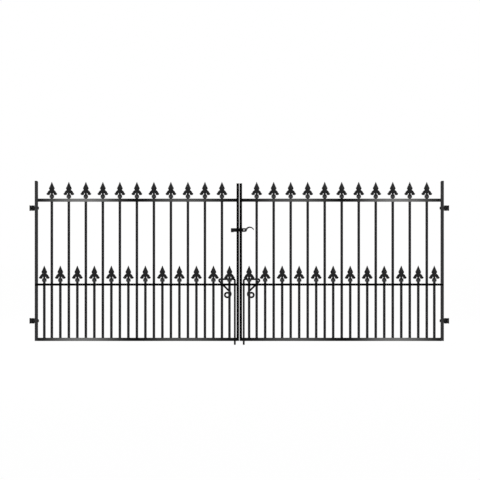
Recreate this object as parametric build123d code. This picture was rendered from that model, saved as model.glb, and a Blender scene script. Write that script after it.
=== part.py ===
from build123d import *
import math
import os

# Pair of spear-topped iron driveway gates for an 8 ft opening, hung on forked pin brackets.
# +X runs from the left post to the right post, +Y points into the drive and +Z up.
# The origin is the middle of the back face of the lower left bracket, where it lies on the post.
# Lengths are millimetres and angles are degrees.

# Opening and leaves
OPENING = 2438.0            # from post face to post face, 8 ft
LEAF_GAP = 5.0              # between the two meeting stiles
HINGE_SPACING = 656.0       # lower hinge to upper hinge

# Box section of the hinge stiles and of the top and bottom rails
BOX = 18.0
BOX_WALL = 2.0

# Meeting stiles and middle rail, solid bar
MEETING_WIDTH = 12.5
MEETING_DEPTH = 18.0
MID_HEIGHT = 12.0
MID_DEPTH = 18.0

# Heights of the frame, measured from the lower hinge
BOTTOM_RAIL_Z = -108.0
MID_RAIL_Z = 211.0
TOP_RAIL_Z = 702.0
HINGE_STILE_TOP = 806.0
MEETING_STILE_TOP = 800.0

# Upright bars
BAR = 14.0
TALL_COUNT = 11
FIRST_TALL = 80.8           # from the hinge stile to the middle of the first tall bar
LAST_TALL = 86.0            # from the middle of the last tall bar to the meeting stile
END_DOG_STEP = 43.8         # from the outer tall bars to the dog bars beside the stiles
TALL_ABOVE_RAIL = 4.0       # bare bar under the spear heads of the tall bars
DOG_ABOVE_RAIL = 11.0       # bare bar under the spear heads of the dog bars

# Spear head, measured from the top of its bar
HEAD_HEIGHT = 94.0
BLADE_Z = 55.5              # widest place of the blade
BLADE_WIDTH = 31.0
BLADE_THICK = 12.0
NECK_Z = 47.0               # between the blade and the arms
NECK_WIDTH = 24.0
NECK_THICK = 11.0
STEM_WIDTH = 11.0
ARM_THICK = 9.0
ARM_SPAN = 62.0
ARM_CROTCH_Z = 30.0         # where the arms leave the stem
ARM_FOOT_Z = 17.0           # lowest place of the arms
# Arm from shoulder to armpit: share of its reach past the neck, share of its height above the foot
ARM_OUTLINE = ((0.0, 0.91), (0.44, 0.68), (0.66, 0.43), (1.0, 0.3), (0.87, 0.08), (0.58, 0.0), (0.25, 0.05), (0.0, 0.25))
KNOP_DIAMETER = 25.4
KNOP_Z = 8.5                # middle of the ball
KNOP_SIDES = 8

# Hinges
PIN_X = 18.0                # from the post to the hinge axis
PIN_DIAMETER = 10.0
PIN_FIT = 0.05              # radial play of the eye on its pin
PIN_HEAD = 1.0
PIN_HEAD_DIAMETER = 15.0
PLATE_THICK = 4.0
PLATE_HEIGHT = 31.0
PLATE_DEPTH = 56.0
PLATE_HOLE = 7.0
PLATE_HOLE_SPACING = 38.0
EAR_THICK = 4.0
EYE_DIAMETER = 21.0
EAR_TO_EYE = 0.4
EYE_TO_STILE = 0.7
COLLAR_DIAMETER = 18.0      # swelling where the shank leaves the eye
SHANK_DIAMETER = 10.0
FIXED_PLAY = 0.2            # round a shank or pin that is clamped in its hole
NUT_ACROSS_FLATS = 17.0
NUT_THICK = 5.0
SHANK_PAST_NUT = 1.0

# Caps of the hinge stiles
CAP_RISE = 9.0
CAP_ROUND = 8.0
CAP_PLUG = 12.0
CORNER_LEFT = 0.5           # least flat left beside a rounding

# Drop bolts
ROD_DIAMETER = 10.0
ROD_FROM_MIDDLE = 26.0      # from the middle of the opening to the rod
ROD_BELOW_RAIL = 24.0
ROD_TIP_CHAMFER = 1.5
ROD_TO_RAIL = 9.0           # between the back of the rails and the rod, so that its handle clears the knops
GUIDE_WALL = 3.5
GUIDE_PLAY = 0.4
HANDLE_ABOVE_RAIL = 25.0    # from the top of the middle rail to the handle's middle line
HANDLE_BEND = 8.0
HANDLE_RUN = 76.0
HAIRPIN_RADIUS = 7.5
HANDLE_SLOPE = 45.0
HANDLE_DIAGONAL = 84.5
SCROLL_RADII = (19.5, 13.3)
SCROLL_TURNS = (150.0, 200.0)

# Latch
LATCH_Z = 529.0
LATCH_HEIGHT = 21.0
LATCH_THICK = 5.0
LATCH_LEFT_REACH = 46.0
LATCH_RIGHT_REACH = 30.0
LATCH_TO_STILE = 6.0
LATCH_SIDE_PLAY = 0.3
PIVOT_DIAMETER = 8.0
PIVOT_BOSS_DIAMETER = 12.0
PIVOT_HEAD = 3.0
PADLOCK_HOLE = 7.0
PADLOCK_HOLE_X = 18.5
TAIL_DIAMETER = 6.0
TAIL_RADIUS = 24.0
TAIL_INSET = 2.0            # from the arm's right end to where the tail starts
TAIL_DROP = 3.0             # from the arm's middle line down to there
TAIL_RISE_ANGLE = 80.0
TAIL_TURN = 150.0
KEEPER_THICK = 4.0
KEEPER_REACH = 34.0
KEEPER_POCKET = 16.0
KEEPER_PLAY = 2.0
KEEPER_LIP = 14.0
LATCH_REST_GAP = 0.3

# Places worked out from the sizes above
MIDDLE_X = OPENING / 2
STILE_X = PIN_X + EYE_DIAMETER / 2 + EYE_TO_STILE
STILE_INNER_X = STILE_X + BOX
MEETING_X = MIDDLE_X - LEAF_GAP / 2 - MEETING_WIDTH
RAIL_LENGTH = MEETING_X - STILE_INNER_X
BOTTOM_Z = BOTTOM_RAIL_Z - BOX / 2
TALL_PITCH = (RAIL_LENGTH - FIRST_TALL - LAST_TALL) / (TALL_COUNT - 1)
TALL_XS = [STILE_INNER_X + FIRST_TALL + TALL_PITCH * k for k in range(TALL_COUNT)]
DOG_XS = (
    [TALL_XS[0] - END_DOG_STEP]
    + [x + TALL_PITCH / 2 for x in TALL_XS[:-1]]
    + [TALL_XS[-1] + END_DOG_STEP]
)
TALL_TOP = TOP_RAIL_Z + BOX / 2 + TALL_ABOVE_RAIL
DOG_TOP = MID_RAIL_Z + MID_HEIGHT / 2 + DOG_ABOVE_RAIL
EYE_HEIGHT = PLATE_HEIGHT - 2 * (PIN_HEAD + EAR_THICK + EAR_TO_EYE)
EAR_OUTER_Z = PLATE_HEIGHT / 2 - PIN_HEAD
ROD_X = MIDDLE_X - ROD_FROM_MIDDLE
ROD_Y = MID_DEPTH / 2 + ROD_TO_RAIL + ROD_DIAMETER / 2
HANDLE_Z = MID_RAIL_Z + MID_HEIGHT / 2 + HANDLE_ABOVE_RAIL
PIVOT_X = MIDDLE_X + (LEAF_GAP + MEETING_WIDTH) / 2
LATCH_Y = MEETING_DEPTH / 2 + LATCH_TO_STILE


def block(x0, x1, y0, y1, z0, z1):
    """Square-edged bar between two opposite corners."""
    return Pos((x0 + x1) / 2, (y0 + y1) / 2, (z0 + z1) / 2) * Box(x1 - x0, y1 - y0, z1 - z0)


def rod_along(direction, radius, length, start):
    """Round bar that leaves the start point in the given direction."""
    return Solid.make_cylinder(radius, length, Plane(origin=start, z_dir=direction))


def hexagon_nut(start, across_flats, thick, bore):
    """Plain nut whose seat lies at the start point and which points along +X."""
    plane = Plane(origin=start, x_dir=(0, 1, 0), z_dir=(1, 0, 0))
    body = extrude(plane * RegularPolygon(across_flats / 2, 6, major_radius=False), thick)
    return body - rod_along((1, 0, 0), bore / 2, thick, start)


def box_tube(length):
    """Box section along +X, centred on the X axis."""
    inner = BOX - 2 * BOX_WALL
    align = (Align.MIN, Align.CENTER, Align.CENTER)
    return Box(length, BOX, BOX, align=align) - Box(length, inner, inner, align=align)


def bar_holes(xs, z, height):
    """Square cutters for the bars that pass through a rail."""
    return [Pos(x, 0, z) * Box(BAR, BAR, height) for x in xs]


def hinge_stile():
    """Box upright that the eye bolts go through."""
    height = HINGE_STILE_TOP - BOTTOM_Z
    tube = Pos(STILE_X + BOX / 2, 0, BOTTOM_Z) * Rot(0, -90, 0) * box_tube(height)
    for z in (0, HINGE_SPACING):
        start = (STILE_X, 0, z)
        tube -= rod_along((1, 0, 0), SHANK_DIAMETER / 2 + FIXED_PLAY, BOX, start)
    return tube


def stile_cap():
    """Plug in the top of the hinge stile, rounded off on the gate's side."""
    top = HINGE_STILE_TOP + CAP_RISE
    head = block(STILE_X, STILE_INNER_X, -BOX / 2, BOX / 2, HINGE_STILE_TOP, top)
    corner = head.edges().filter_by(Axis.Y).sort_by(Axis.Z)[-2:].sort_by(Axis.X)[-1]
    head = fillet(corner, min(CAP_ROUND, CAP_RISE - CORNER_LEFT, BOX - CORNER_LEFT))
    plug = BOX / 2 - BOX_WALL - FIXED_PLAY
    middle = STILE_X + BOX / 2
    return head + block(middle - plug, middle + plug, -plug, plug, HINGE_STILE_TOP - CAP_PLUG, HINGE_STILE_TOP)


def meeting_stile():
    """Solid upright where the two leaves meet."""
    half = MEETING_DEPTH / 2
    return block(MEETING_X, MEETING_X + MEETING_WIDTH, -half, half, BOTTOM_Z, MEETING_STILE_TOP)


def top_rail():
    """Box rail punched for the tall bars."""
    return Pos(STILE_INNER_X, 0, TOP_RAIL_Z) * box_tube(RAIL_LENGTH) - bar_holes(TALL_XS, TOP_RAIL_Z, BOX)


def mid_rail():
    """Solid rail punched for every bar."""
    half = MID_DEPTH / 2
    low, high = MID_RAIL_Z - MID_HEIGHT / 2, MID_RAIL_Z + MID_HEIGHT / 2
    rail = block(STILE_INNER_X, MEETING_X, -half, half, low, high)
    return rail - bar_holes(TALL_XS + DOG_XS, MID_RAIL_Z, MID_HEIGHT)


def bottom_rail():
    """Box rail that the bars stand on."""
    return Pos(STILE_INNER_X, 0, BOTTOM_RAIL_Z) * box_tube(RAIL_LENGTH)


def bars(xs, top):
    """Upright bars from the bottom rail to the given height."""
    low = BOTTOM_RAIL_Z + BOX / 2
    return [block(x - BAR / 2, x + BAR / 2, -BAR / 2, BAR / 2, low, top) for x in xs]


def blade():
    """Upper leaf of the spear head, with a ridge down the middle of each side."""

    def rhombus(width, thick, z):
        half_w, half_t = width / 2, thick / 2
        corners = [(half_w, 0), (0, half_t), (-half_w, 0), (0, -half_t)]
        return Plane.XY.offset(z) * make_face(Polyline(*corners, close=True))

    shoulder = rhombus(BLADE_WIDTH, BLADE_THICK, BLADE_Z)
    tip = loft([shoulder, Vertex(0, 0, HEAD_HEIGHT)])
    return tip + loft([shoulder, rhombus(NECK_WIDTH, NECK_THICK, NECK_Z)])


def arm():
    """Drooping arm of the spear head on the +X side, its end flicked outwards."""
    neck = NECK_WIDTH / 2
    reach, rise = ARM_SPAN / 2 - neck, NECK_Z - ARM_FOOT_Z
    lobe = [(neck + reach * out, ARM_FOOT_Z + rise * up) for out, up in ARM_OUTLINE]
    outline = [(0, NECK_Z)] + lobe + [(STEM_WIDTH / 2, ARM_CROTCH_Z), (0, ARM_CROTCH_Z)]
    return extrude(Plane.XZ * make_face(Polyline(*outline, close=True)), ARM_THICK / 2, both=True)


def knop():
    """Faceted ball that the head stands on, cut flat where it meets the bar."""
    radius = KNOP_DIAMETER / 2
    foot = math.degrees(math.asin(min(1.0, KNOP_Z / radius)))
    neck = math.degrees(math.acos(STEM_WIDTH / KNOP_DIAMETER))
    rings = []
    for latitude in (-foot, -foot / 2, 0, neck / 3, neck * 2 / 3, neck):
        z, around = radius * math.sin(math.radians(latitude)), radius * math.cos(math.radians(latitude))
        rings.append(Plane.XY.offset(KNOP_Z + z) * RegularPolygon(around, KNOP_SIDES))
    return loft(rings, ruled=True)


def spear_head():
    """Cast spear head with its foot at the origin."""
    right = arm()
    stem_low, stem_high = KNOP_Z, NECK_Z
    stem = Pos(0, 0, (stem_low + stem_high) / 2) * Box(STEM_WIDTH, STEM_WIDTH, stem_high - stem_low)
    return blade() + right + right.mirror(Plane.YZ) + stem + knop()


def spear_heads(xs, z):
    """One head on top of each bar."""
    head = spear_head()
    return [Pos(x, 0, z) * head for x in xs]


def eye_bolt(z):
    """Forged eye with its threaded shank through the hinge stile."""
    eye = Pos(PIN_X, 0, z) * Cylinder(EYE_DIAMETER / 2, EYE_HEIGHT)
    shank_end = STILE_INNER_X + NUT_THICK + SHANK_PAST_NUT
    shank = rod_along((1, 0, 0), SHANK_DIAMETER / 2, shank_end - PIN_X, (PIN_X, 0, z))
    collar_start = PIN_X + PIN_DIAMETER / 2
    collar = rod_along((1, 0, 0), COLLAR_DIAMETER / 2, STILE_X - collar_start, (collar_start, 0, z))
    bore = Pos(PIN_X, 0, z) * Cylinder(PIN_DIAMETER / 2 + PIN_FIT, EYE_HEIGHT)
    return eye + shank + collar - bore


def eye_nut(z):
    """Nut on the inner side of the hinge stile."""
    bore = SHANK_DIAMETER + 2 * FIXED_PLAY
    return hexagon_nut((STILE_INNER_X, 0, z), NUT_ACROSS_FLATS, NUT_THICK, bore)


def bracket(z):
    """Post plate with two ears that hold the hinge pin."""
    half_depth, half_height = PLATE_DEPTH / 2, PLATE_HEIGHT / 2
    body = block(0, PLATE_THICK, -half_depth, half_depth, z - half_height, z + half_height)
    ear_radius = EYE_DIAMETER / 2
    for low in (z + EAR_OUTER_Z - EAR_THICK, z - EAR_OUTER_Z):
        body += block(PLATE_THICK, PIN_X, -ear_radius, ear_radius, low, low + EAR_THICK)
        body += Pos(PIN_X, 0, low + EAR_THICK / 2) * Cylinder(ear_radius, EAR_THICK)
    body -= Pos(PIN_X, 0, z) * Cylinder(PIN_DIAMETER / 2 + FIXED_PLAY, PLATE_HEIGHT)
    for y in (-PLATE_HOLE_SPACING / 2, PLATE_HOLE_SPACING / 2):
        body -= rod_along((1, 0, 0), PLATE_HOLE / 2, PLATE_THICK, (0, y, z))
    return body


def hinge_pin(z):
    """Pin through the ears and the eye, with a flat head at each end."""
    body = Pos(PIN_X, 0, z) * Cylinder(PIN_DIAMETER / 2, 2 * EAR_OUTER_Z)
    for middle in (z + EAR_OUTER_Z + PIN_HEAD / 2, z - EAR_OUTER_Z - PIN_HEAD / 2):
        body += Pos(PIN_X, 0, middle) * Cylinder(PIN_HEAD_DIAMETER / 2, PIN_HEAD)
    return body


def guide(rail_z, rail_height):
    """Eye behind a rail that the drop bolt slides in."""
    radius = ROD_DIAMETER / 2 + GUIDE_PLAY + GUIDE_WALL
    low, high = rail_z - rail_height / 2, rail_z + rail_height / 2
    body = block(ROD_X - radius, ROD_X + radius, MID_DEPTH / 2, ROD_Y, low, high)
    body += Pos(ROD_X, ROD_Y, rail_z) * Cylinder(radius, rail_height)
    return body - Pos(ROD_X, ROD_Y, rail_z) * Cylinder(ROD_DIAMETER / 2 + GUIDE_PLAY, rail_height)


def drop_bolt():
    """One round bar, bent over at its top into a hairpin and a scroll, all in one plane."""
    foot = BOTTOM_Z - ROD_BELOW_RAIL
    with BuildLine(Plane.XZ) as path:
        rod = Line((0, foot), (0, HANDLE_Z - HANDLE_BEND))
        bend = JernArc(rod @ 1, rod % 1, HANDLE_BEND, 90)
        run = Line(bend @ 1, bend @ 1 + (bend % 1) * HANDLE_RUN)
        hairpin = JernArc(run @ 1, run % 1, HAIRPIN_RADIUS, 180 - HANDLE_SLOPE)
        last = Line(hairpin @ 1, hairpin @ 1 + (hairpin % 1) * HANDLE_DIAGONAL)
        for radius, turn in zip(SCROLL_RADII, SCROLL_TURNS):
            last = JernArc(last @ 1, last % 1, radius, -turn)
    section = Plane(path.line @ 0, z_dir=path.line % 0) * Circle(ROD_DIAMETER / 2)
    body = sweep(section, path=path.line)
    body = chamfer(body.edges().sort_by(Axis.Z)[0], ROD_TIP_CHAMFER)
    return Pos(ROD_X, ROD_Y, 0) * body


def keeper():
    """Pocket on the left leaf that the latch arm drops into."""
    front = MEETING_DEPTH / 2
    left = MEETING_X - KEEPER_REACH
    low = LATCH_Z - LATCH_HEIGHT / 2 - LATCH_REST_GAP
    back = LATCH_Y + LATCH_THICK + KEEPER_PLAY
    high = low + LATCH_HEIGHT
    body = block(left, MEETING_X + MEETING_WIDTH, front, front + KEEPER_THICK, low, high)
    body += block(left, left + KEEPER_POCKET, front, back + KEEPER_THICK, low - KEEPER_THICK, low)
    return body + block(left, left + KEEPER_POCKET, back, back + KEEPER_THICK, low, low + KEEPER_LIP)


def latch_pivot():
    """Stud on the right meeting stile that the latch arm turns on."""
    y = MEETING_DEPTH / 2
    boss_end = LATCH_Y - LATCH_SIDE_PLAY
    head_start = LATCH_Y + LATCH_THICK + LATCH_SIDE_PLAY
    body = rod_along((0, 1, 0), PIVOT_BOSS_DIAMETER / 2, boss_end - y, (PIVOT_X, y, LATCH_Z))
    body += rod_along((0, 1, 0), PIVOT_DIAMETER / 2, head_start - y, (PIVOT_X, y, LATCH_Z))
    return body + rod_along((0, 1, 0), PIVOT_BOSS_DIAMETER / 2, PIVOT_HEAD, (PIVOT_X, head_start, LATCH_Z))


def latch_arm():
    """Flat arm across both meeting stiles with a curled tail to lift it by."""
    low, high = LATCH_Z - LATCH_HEIGHT / 2, LATCH_Z + LATCH_HEIGHT / 2
    right_end = PIVOT_X + LATCH_RIGHT_REACH
    body = block(PIVOT_X - LATCH_LEFT_REACH, right_end, LATCH_Y, LATCH_Y + LATCH_THICK, low, high)
    pivot = (PIVOT_X, LATCH_Y, LATCH_Z)
    body -= rod_along((0, 1, 0), PIVOT_DIAMETER / 2 + PIN_FIT, LATCH_THICK, pivot)
    hole = (PIVOT_X + PADLOCK_HOLE_X, LATCH_Y, LATCH_Z)
    body -= rod_along((0, 1, 0), PADLOCK_HOLE / 2, LATCH_THICK, hole)
    rise = (math.cos(math.radians(TAIL_RISE_ANGLE)), math.sin(math.radians(TAIL_RISE_ANGLE)))
    with BuildLine(Plane.XZ) as path:
        JernArc((-TAIL_INSET, -TAIL_DROP), rise, TAIL_RADIUS, -TAIL_TURN)
    section = Plane(path.line @ 0, z_dir=path.line % 0) * Circle(TAIL_DIAMETER / 2)
    tail = sweep(section, path=path.line)
    return body + Pos(right_end, LATCH_Y + LATCH_THICK / 2, LATCH_Z) * tail


def on_both_sides(name, shapes):
    """The same piece on the left and, mirrored, on the right."""
    mirror_plane = Plane.YZ.offset(MIDDLE_X)
    mirrored = [shape.mirror(mirror_plane) for shape in shapes]
    return {f"left_{name}": shapes, f"right_{name}": mirrored}


def all_nodes():
    """Every named piece of the gate with its solids."""
    nodes = {}
    for level, z in (("lower", 0), ("upper", HINGE_SPACING)):
        nodes |= on_both_sides(f"{level}_bracket", [bracket(z)])
        nodes |= on_both_sides(f"{level}_pin", [hinge_pin(z)])
    nodes |= on_both_sides("hinge_stile", [hinge_stile()])
    nodes |= on_both_sides("stile_cap", [stile_cap()])
    nodes |= on_both_sides("meeting_stile", [meeting_stile()])
    nodes |= on_both_sides("top_rail", [top_rail()])
    nodes |= on_both_sides("mid_rail", [mid_rail()])
    nodes |= on_both_sides("bottom_rail", [bottom_rail()])
    nodes |= on_both_sides("tall_bars", bars(TALL_XS, TALL_TOP))
    nodes |= on_both_sides("dog_bars", bars(DOG_XS, DOG_TOP))
    nodes |= on_both_sides("tall_heads", spear_heads(TALL_XS, TALL_TOP))
    nodes |= on_both_sides("dog_heads", spear_heads(DOG_XS, DOG_TOP))
    nodes |= on_both_sides("eye_bolts", [eye_bolt(0), eye_bolt(HINGE_SPACING)])
    nodes |= on_both_sides("eye_nuts", [eye_nut(0), eye_nut(HINGE_SPACING)])
    nodes |= on_both_sides("bolt_guides", [guide(MID_RAIL_Z, MID_HEIGHT), guide(BOTTOM_RAIL_Z, BOX)])
    nodes |= on_both_sides("drop_bolt", [drop_bolt()])
    nodes["latch_keeper"] = [keeper()]
    nodes["latch_pivot"] = [latch_pivot()]
    nodes["latch_arm"] = [latch_arm()]
    return nodes


os.makedirs("parts", exist_ok=True)
for node_name, shapes in all_nodes().items():
    solids = [solid for shape in shapes for solid in shape.solids()]
    export_step(solids[0] if len(solids) == 1 else Compound(solids), f"parts/{node_name}.step")
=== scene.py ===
# %% [markdown]
# # A pair of spear-topped iron gates
# The real thing is two low driveway leaves of box section and square bar, painted black,
# with a cast spear head on every bar. Their sizes are already fixed in a CAD model.
# This lesson loads that model and builds on it the things a camera sees: eased corners,
# weld beads, castings, forged handles and paint.

# %% Load the measured gate
import math
import bpy
import bmesh
from mathutils import Matrix, Vector


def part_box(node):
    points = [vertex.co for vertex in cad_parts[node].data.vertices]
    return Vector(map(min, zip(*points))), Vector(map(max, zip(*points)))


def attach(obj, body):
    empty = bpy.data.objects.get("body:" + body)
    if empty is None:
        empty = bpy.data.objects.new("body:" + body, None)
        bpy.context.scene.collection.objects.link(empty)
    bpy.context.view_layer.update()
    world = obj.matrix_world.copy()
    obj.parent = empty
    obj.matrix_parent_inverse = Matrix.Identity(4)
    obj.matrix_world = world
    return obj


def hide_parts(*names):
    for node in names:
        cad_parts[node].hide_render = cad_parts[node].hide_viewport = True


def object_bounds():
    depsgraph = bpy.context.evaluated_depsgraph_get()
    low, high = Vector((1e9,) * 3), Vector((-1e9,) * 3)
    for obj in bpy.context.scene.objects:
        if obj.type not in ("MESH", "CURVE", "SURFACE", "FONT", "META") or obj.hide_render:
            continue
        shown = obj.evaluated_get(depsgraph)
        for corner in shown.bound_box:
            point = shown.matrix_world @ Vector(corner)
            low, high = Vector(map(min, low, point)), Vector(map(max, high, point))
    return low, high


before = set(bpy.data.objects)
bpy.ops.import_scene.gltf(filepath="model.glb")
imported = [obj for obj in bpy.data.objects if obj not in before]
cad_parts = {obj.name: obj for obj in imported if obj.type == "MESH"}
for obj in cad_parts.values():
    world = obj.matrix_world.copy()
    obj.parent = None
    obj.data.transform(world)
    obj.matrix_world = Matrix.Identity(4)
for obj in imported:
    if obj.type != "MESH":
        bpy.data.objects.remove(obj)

cad_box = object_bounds()
MIDDLE = (cad_box[0].x + cad_box[1].x) / 2
MM = 0.001
print("opening", round((cad_box[1].x - cad_box[0].x) / MM), "mm, middle at", round(MIDDLE, 4))

# %% [markdown]
# ## Where the photographer stood
# A catalogue picture of a gate is taken square on and from far away, so that the bars
# stay parallel. A short lens close by would bend them outwards, and an orthographic
# camera would hide the little depth there is. A long lens far away gives both.

# %% Camera
SEEN_WIDTH = 2.7936          # metres of gate plane across the square picture
SEEN_MIDDLE = (1.2231, 0.4703)
STAND_OFF = 15.0             # metres from the lens to the gate

lens_data = bpy.data.cameras.new("camera")
lens_data.sensor_width = 36
lens_data.lens = lens_data.sensor_width * STAND_OFF / SEEN_WIDTH
camera = bpy.data.objects.new("camera", lens_data)
camera.location = (SEEN_MIDDLE[0], -STAND_OFF, SEEN_MIDDLE[1])
camera.rotation_euler = (math.pi / 2, 0, 0)
bpy.context.collection.objects.link(camera)
bpy.context.scene.camera = camera
print("lens", round(lens_data.lens, 1), "mm")

# %% [markdown]
# ## Writing a material as arithmetic
# A procedural material is a web of nodes, and wiring each one by hand hides the idea.
# Here a socket is wrapped in a small class, so that `0.3 + drift * 0.1` adds the Math
# nodes by itself. Every other node comes from one method that takes its type, its
# settings and its sockets.

# %% A socket that can be added and multiplied
class Flow:
    """A value on its way through a material."""

    def __init__(self, sheet, socket):
        self.sheet, self.socket = sheet, socket

    def maths(self, operation, first, second):
        return self.sheet.add("ShaderNodeMath", {"operation": operation}, {0: first, 1: second})

    def __add__(self, other):
        return self.maths("ADD", self, other)

    def __sub__(self, other):
        return self.maths("SUBTRACT", self, other)

    def __rsub__(self, other):
        return self.maths("SUBTRACT", other, self)

    def __mul__(self, other):
        return self.maths("MULTIPLY", self, other)

    __radd__ = __add__

    def unsigned(self):
        """The value without its sign."""
        return self.maths("ABSOLUTE", self, 0.0)

    def between(self, low, high):
        """0 below low, 1 above high and a soft step in the middle."""
        settings = {"interpolation_type": "SMOOTHSTEP"}
        return self.sheet.add("ShaderNodeMapRange", settings, {0: self, 1: low, 2: high})


# %% A material that takes nodes one line at a time
class Finish:
    """A node material under construction."""

    def __init__(self, name):
        self.material = bpy.data.materials.new(name)
        self.material.use_nodes = True
        self.tree = self.material.node_tree
        self.shader = self.tree.nodes["Principled BSDF"]

    def add(self, kind, settings=None, sockets=None, output=0):
        """Adds a node: first its settings, then the values or links of its sockets."""
        node = self.tree.nodes.new(kind)
        for setting, value in (settings or {}).items():
            setattr(node, setting, value)
        for socket, value in (sockets or {}).items():
            self.feed(node.inputs[socket], value)
        return Flow(self, node.outputs[output])

    def feed(self, socket, value):
        if isinstance(value, Flow):
            self.tree.links.new(value.socket, socket)
        else:
            socket.default_value = value

    def grain(self, place, scale, detail, roughness=0.5):
        """Soft noise with the given number of waves a metre."""
        sockets = {"Vector": place, "Scale": scale, "Detail": detail, "Roughness": roughness}
        return self.add("ShaderNodeTexNoise", {}, sockets)

    def blend(self, share, first, second):
        """A colour between two others."""
        settings = {"data_type": "RGBA"}
        return self.add("ShaderNodeMix", settings, {0: share, 6: first, 7: second}, output=2)

    def dress(self, **sockets):
        """Feeds the main shader; an underscore stands for a space."""
        for name, value in sockets.items():
            self.feed(self.shader.inputs[name.replace("_", " ")], value)
        return self.material


print("shader helpers ready")

# %% [markdown]
# ## Black gate paint
# The whole gate wears one black coat, but its tone is set part by part as painted light
# and shade: the meeting stiles and middle rail are near black, the latch arm paler than the
# other fittings. On drawn bar and box section the coat lies smooth, with the faint dimples
# called orange peel. On castings the sand of the mould shows through, and a painted
# highlight makes the round knops a shade lighter. Colour drifts slightly, dust settles on
# faces that look up, and the rails carry long soft bands of painted reflection. One
# function with a few dials makes them all, so that they read as the same paint.

# %% Paint
REFLECTION_SPACING = 0.6                  # metres from one band of painted reflection on a rail to the next
# Grey of the painted reflection that lies along the rails in soft bands.
REFLECTION_GREY = (0.32, 0.32, 0.316, 1)
# Grey of the painted highlight on each knop.
HIGHLIGHT_GREY = (0.050, 0.050, 0.051, 1)
DUSTY = (0.105, 0.098, 0.088, 1)
PEEL = 0.01 * MM             # height of the dimples in smooth paint
SAND = 0.03 * MM             # height of the grain on a casting
KNOP_MIDDLE = 5.5 * MM       # height of a knop's middle above the foot of its head
KNOPS = [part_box(f"left_{row}_heads")[0].z + KNOP_MIDDLE for row in ("tall", "dog")]


def black_paint(name, tone, sheen, gleam, dust, peel=PEEL, sand=0.0, reflection_share=0.0, highlit_heights=()):
    """Black paint, with painted reflection bands along rails and a painted highlight round each
    listed height.
    """
    finish = Finish(name)
    place = finish.add("ShaderNodeTexCoord", output="Object")
    facing = finish.add("ShaderNodeTexCoord", output="Normal")
    upward = finish.add("ShaderNodeSeparateXYZ", {}, {0: facing}, output="Z")
    drift = finish.grain(place, 5.0, 3.0)
    specks = finish.grain(place, 160.0, 4.0, 0.6)
    settled = upward.between(0.55, 0.98) * (0.35 + specks * 0.9) * dust
    scuffs = finish.grain(place, 60.0, 6.0, 0.7).between(0.64, 0.82)
    coat = finish.blend(drift, (*[c * 0.85 for c in tone], 1), (*[c * 1.15 for c in tone], 1))
    # Painted reflection: soft lighter bands along a rail, repeating along it and stronger away from
    # the middle.
    if reflection_share:
        along = finish.add("ShaderNodeSeparateXYZ", {}, {0: place}, output="X")
        reach = (along - MIDDLE).unsigned()
        reflection_bands = (1.0 - reach.maths("COSINE", reach * (math.tau / REFLECTION_SPACING), 0.0)) * 0.5
        coat = finish.blend(reflection_bands * (0.25 + reach) * reflection_share, coat, REFLECTION_GREY)
    # Painted highlight: a paler grey round each listed height, where the knops face the light.
    for level in highlit_heights:
        height = finish.add("ShaderNodeSeparateXYZ", {}, {0: place}, output="Z")
        near = 1.0 - (height - level).unsigned().between(4 * MM, 9 * MM)
        coat = finish.blend(near * (0.6 + specks * 0.5), coat, HIGHLIGHT_GREY)
    colour = finish.blend(settled, coat, DUSTY)
    dull = sheen + (drift - 0.5) * 0.08 + scuffs * 0.10 + settled * 0.5 + (specks - 0.5) * 0.05
    dimples = finish.grain(place, 420.0, 1.0)
    cast = finish.grain(place, 850.0, 5.0, 0.65) + finish.grain(place, 240.0, 2.0) * 0.8
    relief = dimples * peel + cast * sand
    bumps = finish.add("ShaderNodeBump", {}, {"Strength": 1.0, "Distance": 1.0, "Height": relief})
    return finish.dress(
        Base_Color=colour, Roughness=dull, Normal=bumps, Specular_IOR_Level=gleam
    )


# One black paint in lit and shaded copies: each tone below is painted light or shade for its part.
PAINT = {
    "stile": black_paint(
        "stile_paint", (0.018, 0.018, 0.019), sheen=0.45, gleam=0.22, dust=0.10
    ),
    # Rails: long soft bands of painted reflection.
    "rail": black_paint(
        "rail_paint", (0.003, 0.003, 0.0032), sheen=0.48, gleam=0.06, dust=0.15, reflection_share=0.52
    ),
    # Painted shade: the meeting stiles and the middle rail are near black.
    "solid": black_paint(
        "solid_bar_painted_shade", (0.0012, 0.0012, 0.0013), sheen=0.48, gleam=0.02, dust=0.06
    ),
    "bar": black_paint(
        "bar_paint", (0.010, 0.010, 0.011), sheen=0.48, gleam=0.16, dust=0.10
    ),
    # Castings: a painted highlight on every knop.
    "casting": black_paint(
        "cast_paint", (0.007, 0.007, 0.0075), sheen=0.42, gleam=0.14, dust=0.10,
        peel=0.0, sand=SAND, highlit_heights=KNOPS,
    ),
    "fitting": black_paint(
        "fitting_paint", (0.007, 0.007, 0.0075), sheen=0.45, gleam=0.12, dust=0.10,
        sand=SAND / 3,
    ),
    # Painted light: the latch arm, paler than the other fittings.
    "lit_arm": black_paint(
        "lit_arm_paint", (0.020, 0.020, 0.021), sheen=0.40, gleam=0.22, dust=0.10, sand=SAND / 3
    ),
}
print("paints:", ", ".join(PAINT))

# %% [markdown]
# ## The blacksmith's tools
# A few helpers stand for the ways the real parts are made: sawn from bar, cut from
# sheet, turned on a lathe and bent from rod. Each returns a closed mesh in gate
# coordinates, with its edges eased, because no painted edge is ever perfectly sharp and
# the thin bright line along it is what tells the eye that it is steel.

# %% Keeping, joining and mirroring meshes
def keep(work):
    """Turns a bmesh into a mesh whose faces look outwards."""
    bmesh.ops.remove_doubles(work, verts=work.verts[:], dist=1e-7)
    bmesh.ops.recalc_face_normals(work, faces=work.faces[:])
    mesh = bpy.data.meshes.new("work")
    work.to_mesh(mesh)
    work.free()
    return mesh


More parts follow.
